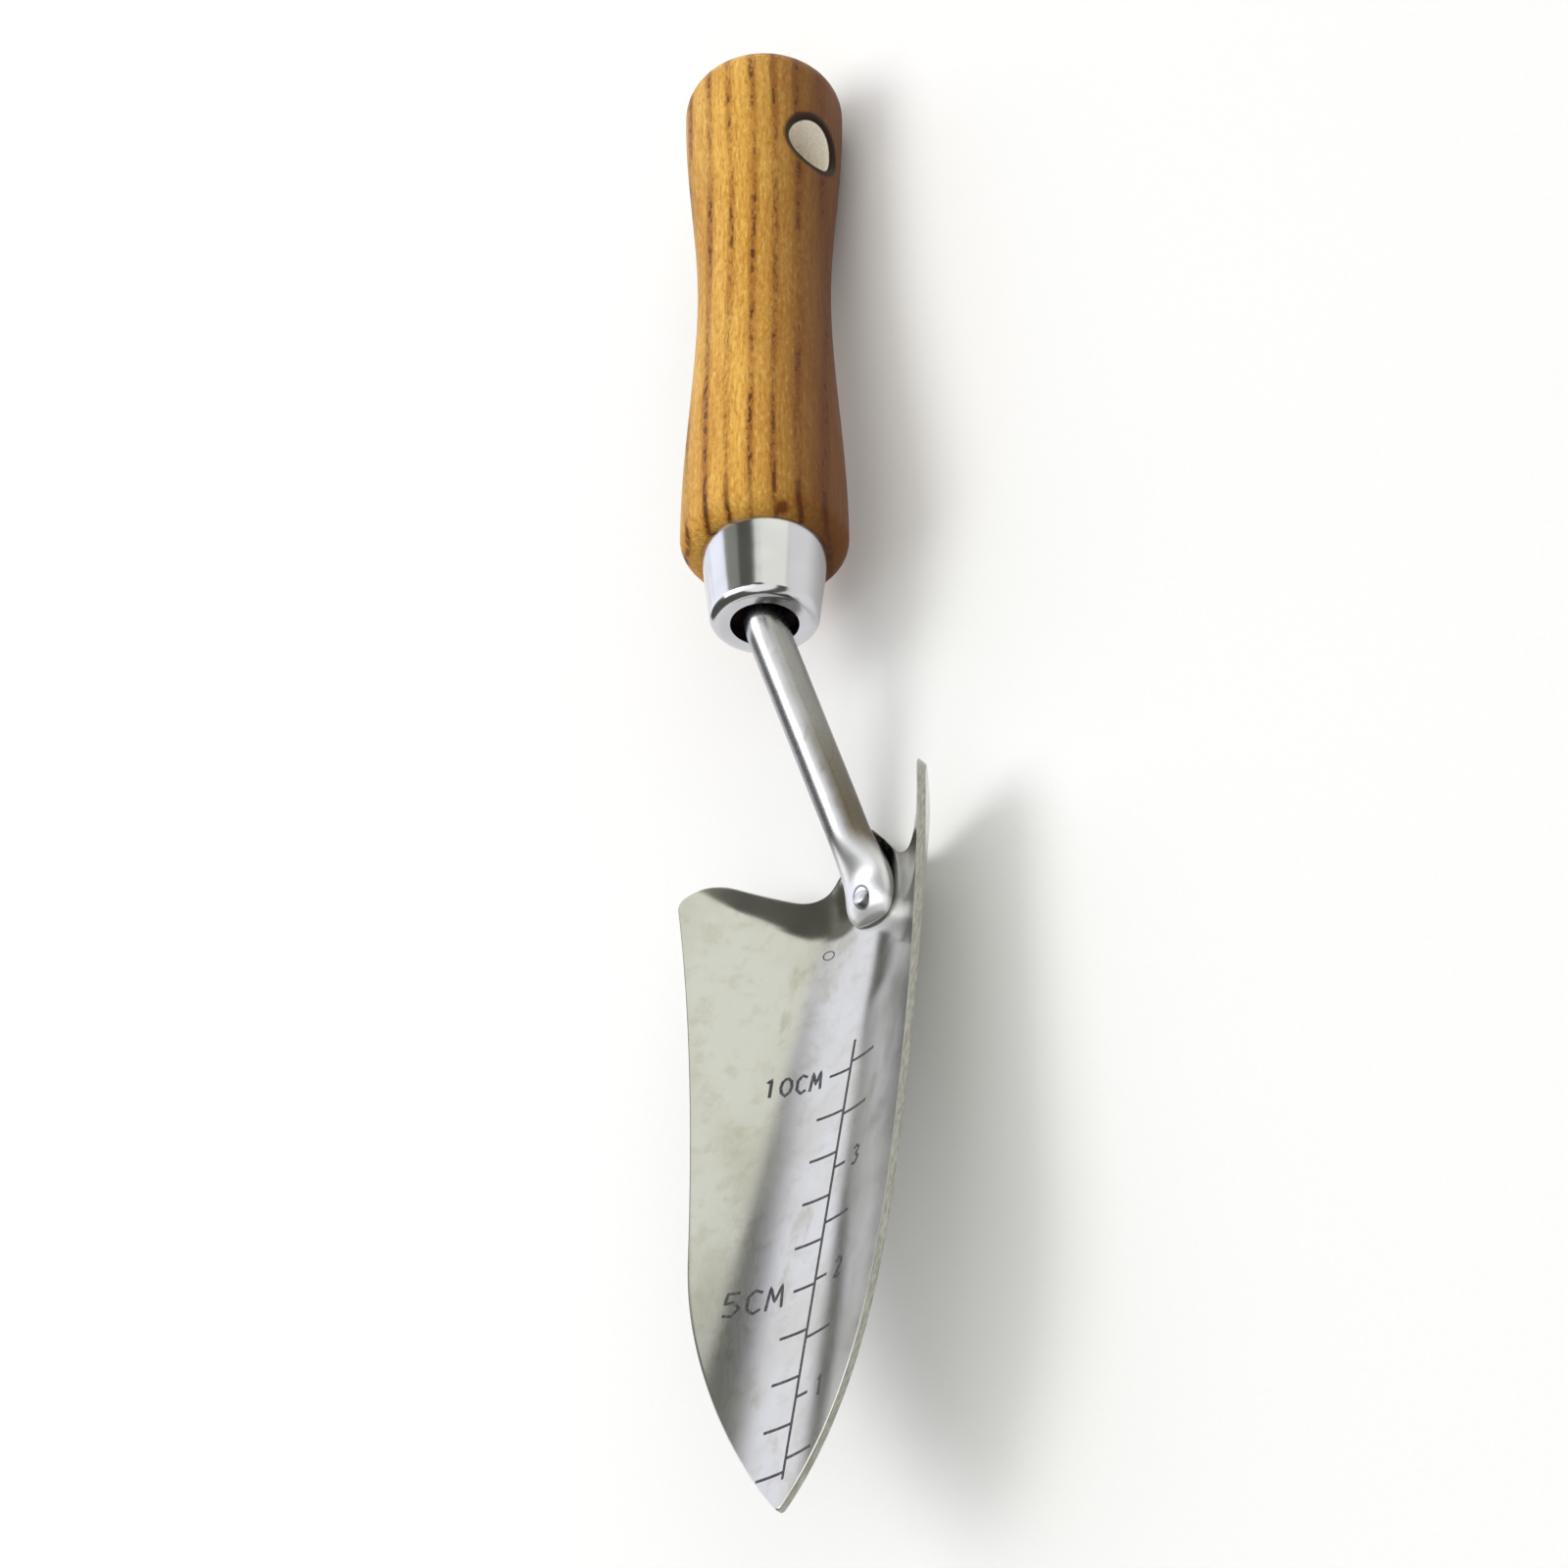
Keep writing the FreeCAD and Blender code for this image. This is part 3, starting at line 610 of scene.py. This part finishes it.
# The forged foot from its toe, in millimetres: distance from the toe, half width, half height, and how
# far its middle lies under the rod's centre line.
FOOT_SECTIONS = [
    (-0.5, 1.9, 0.2, 3.1),
    (-0.3, 3.0, 0.55, 3.1),
    (0, 3.9, 1.0, 3.0),
    (0.5, 4.6, 1.45, 2.8),
    (1.2, 5.25, 1.95, 2.5),
    (2.4, 5.8, 2.5, 2.05),
    (4.5, 6.1, 3.0, 1.6),
    (8, 5.9, 3.3, 1.1),
    (12, 5.2, 3.9, 0.4),
    (17, 4.4, 4.4, 0),
    (24, 4.4, 4.4, 0),
]


def foot_shape(run):
    """Half width, half height and drop of the foot's section, flowing smoothly through the table."""
    table = FOOT_SECTIONS
    run = max(run, table[0][0])
    if run >= table[-1][0]:
        return ROD_RADIUS, ROD_RADIUS, 0.0
    k = next(i for i in range(len(table) - 1) if run < table[i + 1][0])
    before, start = table[max(k - 1, 0)], table[k]
    end, after = table[k + 1], table[min(k + 2, len(table) - 1)]
    span = end[0] - start[0]
    t = (run - start[0]) / span
    values = []
    for column in (1, 2, 3):
        leave = (end[column] - before[column]) / (end[0] - before[0]) * span
        arrive = (after[column] - start[column]) / (after[0] - start[0]) * span
        value = (2 * t ** 3 - 3 * t ** 2 + 1) * start[column] + (t ** 3 - 2 * t ** 2 + t) * leave
        value += (3 * t ** 2 - 2 * t ** 3) * end[column] + (t ** 3 - t ** 2) * arrive
        values.append(MM * value)
    return values


def neck_line():
    """(distance, point, slope) along the rod from its toe to its tang, in the tool frame."""
    crank_turn = HANDLE_SLOPE - NECK_SLOPE
    bend = FERRULE_FLOOR.x - (FERRULE_FLOOR.z - ROD_ABOVE_BLADE) / math.tan(NECK_SLOPE)
    bend_reach = FOOT_BEND_RADIUS * math.tan(NECK_SLOPE / 2)
    crank_reach = CRANK_RADIUS * math.tan(-crank_turn / 2)
    slope_length = (FERRULE_FLOOR.x - bend) / math.cos(NECK_SLOPE) - bend_reach - crank_reach
    runs = [(bend - bend_reach - FOOT_END, 0, 28), (FOOT_BEND_RADIUS * NECK_SLOPE, NECK_SLOPE, 16),
            (slope_length, 0, 40), (CRANK_RADIUS * -crank_turn, crank_turn, 14),
            (TANG_LENGTH - crank_reach, 0, 40)]
    place = Vector((FOOT_END, 0, ROD_ABOVE_BLADE))
    slope = 0.0
    distance = 0.0
    line = [(distance, place.copy(), slope)]
    for length, turn, count in runs:
        for _ in range(count):
            middle = slope + turn / count / 2
            place = place + Vector((math.cos(middle), 0, math.sin(middle))) * (length / count)
            slope += turn / count
            distance += length / count
            line.append((distance, place.copy(), slope))
    return line


def make_neck():
    """The rod with its forged foot, which follows the sheet where it lies on it."""
    line = neck_line()
    toe = [(run * MM, Vector((FOOT_END + run * MM, 0, ROD_ABOVE_BLADE)), 0.0) for run in TOE_RUNS]
    end_distance, end, end_slope = line[-1]
    heading = Vector((math.cos(end_slope), 0, math.sin(end_slope)))
    segments = NECK_SEGMENTS
    points = []
    for distance, place, slope in toe + line:
        half_width, half_height, drop = foot_shape(distance / MM)
        up = Vector((-math.sin(slope), 0, math.cos(slope)))
        for i in range(segments):
            a = 2 * math.pi * i / segments
            point = place + up * (half_height * math.sin(a) - drop)
            point.y += half_width * math.cos(a)
            if point.x < TAB.x:
                point.z = max(point.z, hollow_height(point.x, point.y) - SEATED)
            points.append(TOOL @ point)
    for share in (1 / 3, 2 / 3, 1):
        radius = ROD_RADIUS + (TANG_POINT_RADIUS - ROD_RADIUS) * share
        place = end + heading * (TANG_POINT_LENGTH * share)
        up = Vector((-heading.z, 0, heading.x))
        for i in range(segments):
            a = 2 * math.pi * i / segments
            ring_point = place + up * (radius * math.sin(a)) + Vector((0, radius * math.cos(a), 0))
            points.append(TOOL @ ring_point)
    count = len(points) // segments
    faces = []
    for ring in range(count - 1):
        for i in range(segments):
            j = (i + 1) % segments
            a = ring * segments
            faces.append((a + i, a + j, a + segments + j, a + segments + i))
    faces.append(tuple(reversed(range(segments))))
    faces.append(tuple(range((count - 1) * segments, count * segments)))
    piece = mesh_object("forged_neck", points, faces, smooth=True)
    dress(piece, neck_steel)
    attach(piece, "root")
    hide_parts("neck")


make_neck()

# ---------------------------------------------------------------- rivet
RIVET_TOP = 4.7 * MM
RIVET_DOME = 0.5 * MM


def make_rivet():
    """A low domed head with a rounded rim, on a shank that ends flush in the blade's back."""
    upright = TOOL @ Matrix.Translation((RIVET_ALONG, 0, 0)) @ Matrix.Rotation(-math.pi / 2, 4, "Y")
    bottom = hollow_height(RIVET_ALONG, RIVET_RADIUS) - SHEET
    crown = RIVET_TOP + RIVET_DOME
    profile = [(bottom, 0), (bottom, 0.9 * RIVET_RADIUS), (bottom + 0.1 * MM, RIVET_RADIUS),
               (RIVET_TOP - 0.25 * MM, RIVET_RADIUS), (RIVET_TOP - 0.05 * MM, 0.96 * RIVET_RADIUS)]
    for share in (0.85, 0.7, 0.5, 0.3, 0.12, 0):
        profile.append((crown - RIVET_DOME * share ** 2, RIVET_RADIUS * share))
    piece = turned("rivet_head", profile, upright, 48)
    dress(piece, rivet_steel)
    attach(piece, "root")
    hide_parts("foot_rivet")


make_rivet()

# ---------------------------------------------------------------- depth scale
SCALE_START = -2.0 * MM          # where the scale's zero lies, from the tip
SCALE_FIRST = 6.5 * MM
SCALE_TOP = 105 * MM
MARK_WIDTH = 0.6 * MM
STROKE_STEP = 0.7 * MM
MARK_HEIGHT = 0.03 * MM          # how far a mark's face stands above the sheet
MARK_DEPTH = 0.08 * MM           # how far it is sunk in
LONG_MARK = 6.6 * MM
SHORT_MARK = 3.0 * MM
LABELLED_MARK = 5.2 * MM         # the centimetre marks that have a number
INCH_NUMBER = (4.2 * MM, 2.2 * MM)          # height and width
INCH_NUMBER_ACROSS = -5.2 * MM
CM_TEXT = {5: (19.6 * MM, 5.2 * MM, 3.5 * MM, 0.8 * MM),      # left edge, height, width and gap
           10: (18.4 * MM, 4.4 * MM, 2.3 * MM, 0.7 * MM)}
CENTIMETRE = 10 * MM
HALF_INCH = 12.7 * MM
RING_MARK = Vector((130, 10)) * MM
RING_MARK_RADIUS = 1.1 * MM
RING_MARK_WIDTH = 0.22 * MM

# Strokes of the characters on a unit cell, x to the right and y up, upright with the handle up.
STROKES = {
    "0": [[(0.5, 1), (0.15, 0.8), (0.05, 0.5), (0.15, 0.2), (0.5, 0), (0.85, 0.2), (0.95, 0.5),
           (0.85, 0.8), (0.5, 1)]],
    "1": [[(0.25, 0.8), (0.55, 1), (0.55, 0)]],
    "2": [[(0.1, 0.8), (0.4, 1), (0.8, 0.9), (0.85, 0.65), (0.1, 0), (0.95, 0)]],
    "3": [[(0.1, 0.9), (0.5, 1), (0.85, 0.8), (0.45, 0.55), (0.9, 0.3), (0.5, 0), (0.05, 0.1)]],
    "5": [[(0.9, 1), (0.25, 1), (0.15, 0.58), (0.6, 0.62), (0.92, 0.35), (0.6, 0.02), (0.1, 0.08)]],
    "C": [[(0.92, 0.85), (0.5, 1), (0.12, 0.75), (0.12, 0.25), (0.5, 0), (0.92, 0.15)]],
    "M": [[(0.02, 0), (0.15, 1), (0.5, 0.3), (0.85, 1), (0.98, 0)]],
}


class MarkMesh:
    """Gathers thin strips that follow the hollow face, as one mesh."""

    def __init__(self):
        self.points = []
        self.faces = []

    def stroke(self, line, width=MARK_WIDTH):
        """A strip along a line of (along, across) points, with square ends."""
        places = resample([Vector(p) for p in line], STROKE_STEP)
        first = len(self.points)
        for i, place in enumerate(places):
            ahead = places[min(i + 1, len(places) - 1)] - places[max(i - 1, 0)]
            side = Vector((-ahead.y, ahead.x)).normalized() * (width / 2)
            for sign, above in ((1, MARK_HEIGHT), (-1, MARK_HEIGHT), (-1, -MARK_DEPTH), (1, -MARK_DEPTH)):
                edge = place + side * sign
                self.points.append(on_hollow(edge.x, edge.y, above))
        for i in range(len(places) - 1):
            a = first + 4 * i
            for j in range(4):
                k = (j + 1) % 4
                self.faces.append((a + j, a + k, a + 4 + k, a + 4 + j))
        last = first + 4 * (len(places) - 1)
        self.faces.append((first + 3, first + 2, first + 1, first))
        self.faces.append((last, last + 1, last + 2, last + 3))

    def text(self, characters, along, across, height, width, gap):
        """Writes characters centred on along, the left-hand edge of the first one at across."""
        for character in characters:
            for stroke in STROKES[character]:
                self.stroke([(along + (v - 0.5) * height, across - u * width) for u, v in stroke])
            across -= width + gap


def resample(points, step):
    """The same line with points no more than a step apart."""
    result = [points[0]]
    for a, b in zip(points, points[1:]):
        count = max(1, math.ceil((b - a).length / step))
        result += [a.lerp(b, (i + 1) / count) for i in range(count)]
    return result


def make_depth_scale():
    """Centre line, centimetre marks to the left of it and half-inch marks to the right, with numbers."""
    marks = MarkMesh()
    marks.stroke([(SCALE_FIRST, 0), (SCALE_TOP, 0)])
    for number in range(1, 11):
        along = SCALE_START + CENTIMETRE * number
        marks.stroke([(along, 0), (along, LABELLED_MARK if number in CM_TEXT else LONG_MARK)])
    for number in range(1, 9):
        along = SCALE_START + HALF_INCH * number
        short = number in (2, 4, 6)
        marks.stroke([(along, 0), (along, -(SHORT_MARK if short else LONG_MARK))])
        if short:
            marks.text(str(number // 2), along, INCH_NUMBER_ACROSS, *INCH_NUMBER, 0)
    for number, (across, height, width, gap) in CM_TEXT.items():
        marks.text(f"{number}CM", SCALE_START + number * CENTIMETRE, across, height, width, gap)
    ring = [(RING_MARK.x + RING_MARK_RADIUS * math.cos(a), RING_MARK.y + RING_MARK_RADIUS * math.sin(a))
            for a in (2 * math.pi * i / 24 for i in range(25))]
    marks.stroke(ring, RING_MARK_WIDTH)
    piece = mesh_object("depth_scale", marks.points, marks.faces)
    dress(piece, make_etch())
    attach(piece, "root")


make_depth_scale()

# ---------------------------------------------------------------- studio
FLOOR_HALF = 6.0


def make_floor():
    h = FLOOR_HALF
    floor = mesh_object("floor", [(-h, -h, 0), (h, -h, 0), (h, h, 0), (-h, h, 0)], [(0, 1, 2, 3)])
    dress(floor, make_floor_paper())


def softbox(name, azimuth, elevation, distance, width, height, radiance, colour=(1, 1, 1)):
    """A soft panel that faces the tool. Its azimuth is measured from +X towards +Y, in degrees."""
    turn = math.radians(azimuth)
    rise = math.radians(elevation)
    away = Vector((math.cos(rise) * math.cos(turn), math.cos(rise) * math.sin(turn), math.sin(rise)))
    light = bpy.data.lights.new(name, "AREA")
    light.shape = "RECTANGLE"
    light.size = width
    light.size_y = height
    light.energy = math.pi * width * height * radiance
    light.color = colour
    lamp = bpy.data.objects.new(name, light)
    lamp.location = away * distance
    lamp.rotation_mode = "QUATERNION"
    lamp.rotation_quaternion = away.to_track_quat("Z", "Y")
    lamp.visible_camera = False
    bpy.context.scene.collection.objects.link(lamp)


class Room:
    """The studio as the world: a dim room with soft-edged pale panels round it, in degrees."""

    def __init__(self, colour):
        self.world = bpy.data.worlds.new("studio")
        self.world.use_nodes = True
        self.tree = self.world.node_tree
        self.total = self.tree.nodes["Background"].outputs[0]
        self.tree.nodes["Background"].inputs["Color"].default_value = colour
        direction = self.tree.nodes.new("ShaderNodeTexCoord").outputs["Generated"]
        parts = self.tree.nodes.new("ShaderNodeSeparateXYZ")
        self.tree.links.new(direction, parts.inputs[0])
        self.azimuth = self.compute("ARCTAN2", parts.outputs[1], parts.outputs[0])
        self.elevation = self.compute("ARCSINE", parts.outputs[2])

    def compute(self, operation, a, b=None):
        node = self.tree.nodes.new("ShaderNodeMath")
        node.operation = operation
        for socket, value in zip(node.inputs, (a, b)):
            if isinstance(value, bpy.types.NodeSocket):
                self.tree.links.new(value, socket)
            elif value is not None:
                socket.default_value = value
        return node.outputs[0]

    def window(self, angle, low, high, edge):
        """One between two angles, falling off softly over the edge's width on either side."""
        sides = []
        for limit, start, end in ((low, 0.0, 1.0), (high, 1.0, 0.0)):
            node = self.tree.nodes.new("ShaderNodeMapRange")
            node.interpolation_type = "SMOOTHSTEP"
            self.tree.links.new(angle, node.inputs["Value"])
            node.inputs["From Min"].default_value = math.radians(limit - edge / 2)
            node.inputs["From Max"].default_value = math.radians(limit + edge / 2)
            node.inputs["To Min"].default_value = start
            node.inputs["To Max"].default_value = end
            sides.append(node.outputs[0])
        return self.compute("MULTIPLY", *sides)

    def add(self, shader):
        node = self.tree.nodes.new("ShaderNodeAddShader")
        self.tree.links.new(self.total, node.inputs[0])
        self.tree.links.new(shader, node.inputs[1])
        self.total = node.outputs[0]

    def panel(self, azimuths, elevations, edge, radiance, colour):
        share = self.compute("MULTIPLY", self.window(self.azimuth, *azimuths, edge),
                             self.window(self.elevation, *elevations, edge))
        glow = self.tree.nodes.new("ShaderNodeBackground")
        glow.inputs["Color"].default_value = (*colour, 1)
        self.tree.links.new(self.compute("MULTIPLY", share, radiance), glow.inputs["Strength"])
        self.add(glow.outputs[0])

    def finish(self):
        """The camera itself sees a plain pale backdrop where the floor ends."""
        backdrop = self.tree.nodes.new("ShaderNodeBackground")
        backdrop.inputs["Color"].default_value = rgb(229, 229, 227)
        seen = self.tree.nodes.new("ShaderNodeLightPath")
        either = self.tree.nodes.new("ShaderNodeMixShader")
        self.tree.links.new(seen.outputs["Is Camera Ray"], either.inputs[0])
        self.tree.links.new(self.total, either.inputs[1])
        self.tree.links.new(backdrop.outputs[0], either.inputs[2])
        self.tree.links.new(either.outputs[0], self.tree.nodes["World Output"].inputs["Surface"])
        bpy.context.scene.world = self.world


ROOM_COLOUR = (0.11, 0.108, 0.09, 1)
# Each panel's azimuths from +X towards +Y and elevations, the width of its soft edge, and its light.
PANELS = [
    ((1, 40), (-4, 37), 5, 1.34, (0.89, 0.9, 1.0)),
    ((40, 78), (12, 37), 5, 1.34, (0.89, 0.9, 1.0)),
    ((55, 78), (-8, 12), 4, 1.34, (0.89, 0.9, 1.0)),
    ((40, 78), (37, 56), 6, 1.34, (0.89, 0.9, 1.0)),
    ((4, 46), (43, 63), 8, 0.2, (1.0, 1.0, 0.86)),
    ((-85, 1), (-4, 43.5), 5, 1.08, (0.99, 1.0, 0.91)),
    ((-50, -30), (43.5, 49), 6, 1.08, (0.99, 1.0, 0.91)),
    ((-178, -85), (20, 60), 6, 1.1, (1.0, 1.0, 1.0)),
    ((48, 200), (60, 76), 6, 1.6, (1.0, 1.0, 1.0)),
    ((-200, -60), (60, 76), 6, 1.3, (1.0, 1.0, 1.0)),
    ((-200, 200), (76, 120), 6, 1.6, (1.0, 1.0, 1.0)),
]

make_floor()
room = Room(ROOM_COLOUR)
for panel in PANELS:
    room.panel(*panel)
room.finish()
softbox("key", azimuth=88, elevation=70, distance=1.6, width=0.9, height=0.9, radiance=2.8)

# ---------------------------------------------------------------- camera
CAMERA_TARGET = Vector((-2.66, 17.97, 7.46)) * MM
CAMERA_DISTANCE = 0.745
CAMERA_AZIMUTH = math.radians(-42.0)
CAMERA_ELEVATION = math.radians(37.24)
CAMERA_ROLL = math.radians(65.42)
CAMERA_LENS = 83.84


def make_camera():
    """A camera on a sphere round its target, turned about its own line of sight by the roll."""
    flat = math.cos(CAMERA_ELEVATION)
    back = Vector((math.sin(CAMERA_AZIMUTH) * flat, -math.cos(CAMERA_AZIMUTH) * flat,
                   math.sin(CAMERA_ELEVATION)))
    data = bpy.data.cameras.new("camera")
    data.lens = CAMERA_LENS
    data.sensor_width = 36
    data.clip_start = 0.01
    data.clip_end = 50
    camera = bpy.data.objects.new("camera", data)
    camera.location = CAMERA_TARGET + back * CAMERA_DISTANCE
    camera.rotation_mode = "QUATERNION"
    upright = back.to_track_quat("Z", "Y")
    camera.rotation_quaternion = upright @ Euler((0, 0, -CAMERA_ROLL)).to_quaternion()
    bpy.context.scene.collection.objects.link(camera)
    bpy.context.scene.camera = camera


make_camera()
bpy.context.scene.view_settings.view_transform = "Standard"
